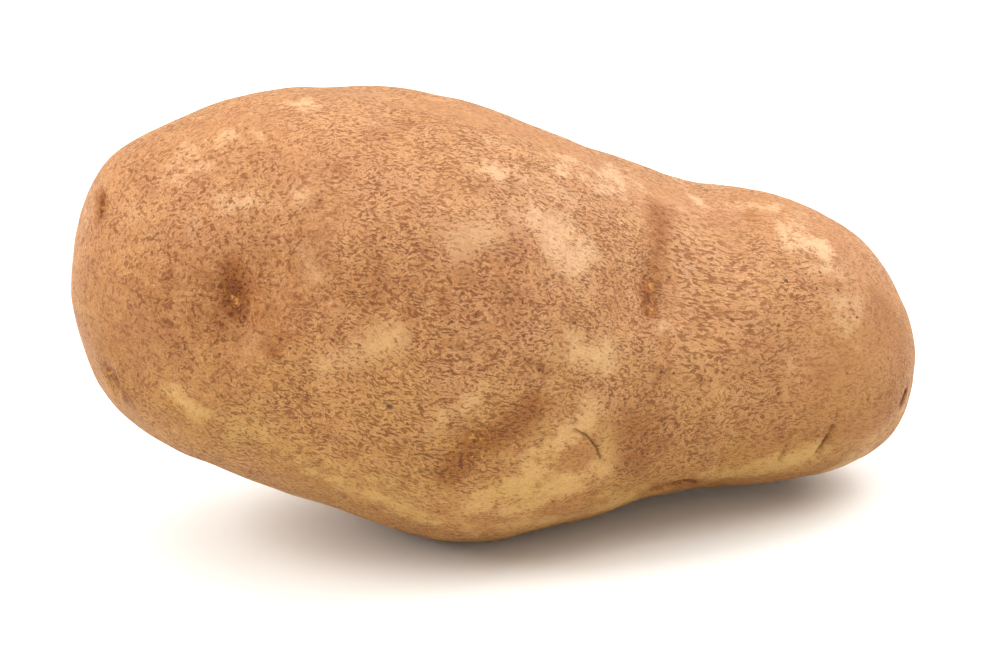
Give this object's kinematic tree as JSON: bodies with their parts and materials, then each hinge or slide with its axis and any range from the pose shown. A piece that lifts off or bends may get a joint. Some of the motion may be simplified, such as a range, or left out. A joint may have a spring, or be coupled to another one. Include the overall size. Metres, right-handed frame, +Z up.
{
  "type": "russet potato",
  "caption": "Whole raw russet potato: a long tapered tuber with netted brown skin and shallow eyes, lying on a small flat spot.",
  "frame": {"origin": "centre of the bounding box in X and Y, on the plane of the flat spot that the potato rests on", "axes": "+X along the potato's length toward its thinner end, so the thick end is toward -X; -Y is the front; +Z is up, away from the flat spot"},
  "size_m": [0.124, 0.0632, 0.0655],
  "materials": {
    "skin": "matte, slightly waxy potato skin: warm golden brown with paler smooth patches, a fine darker brown netting and brown eyes"
  },
  "bodies": {
    "root": {"potato": "skin"}
  },
  "joints": []
}
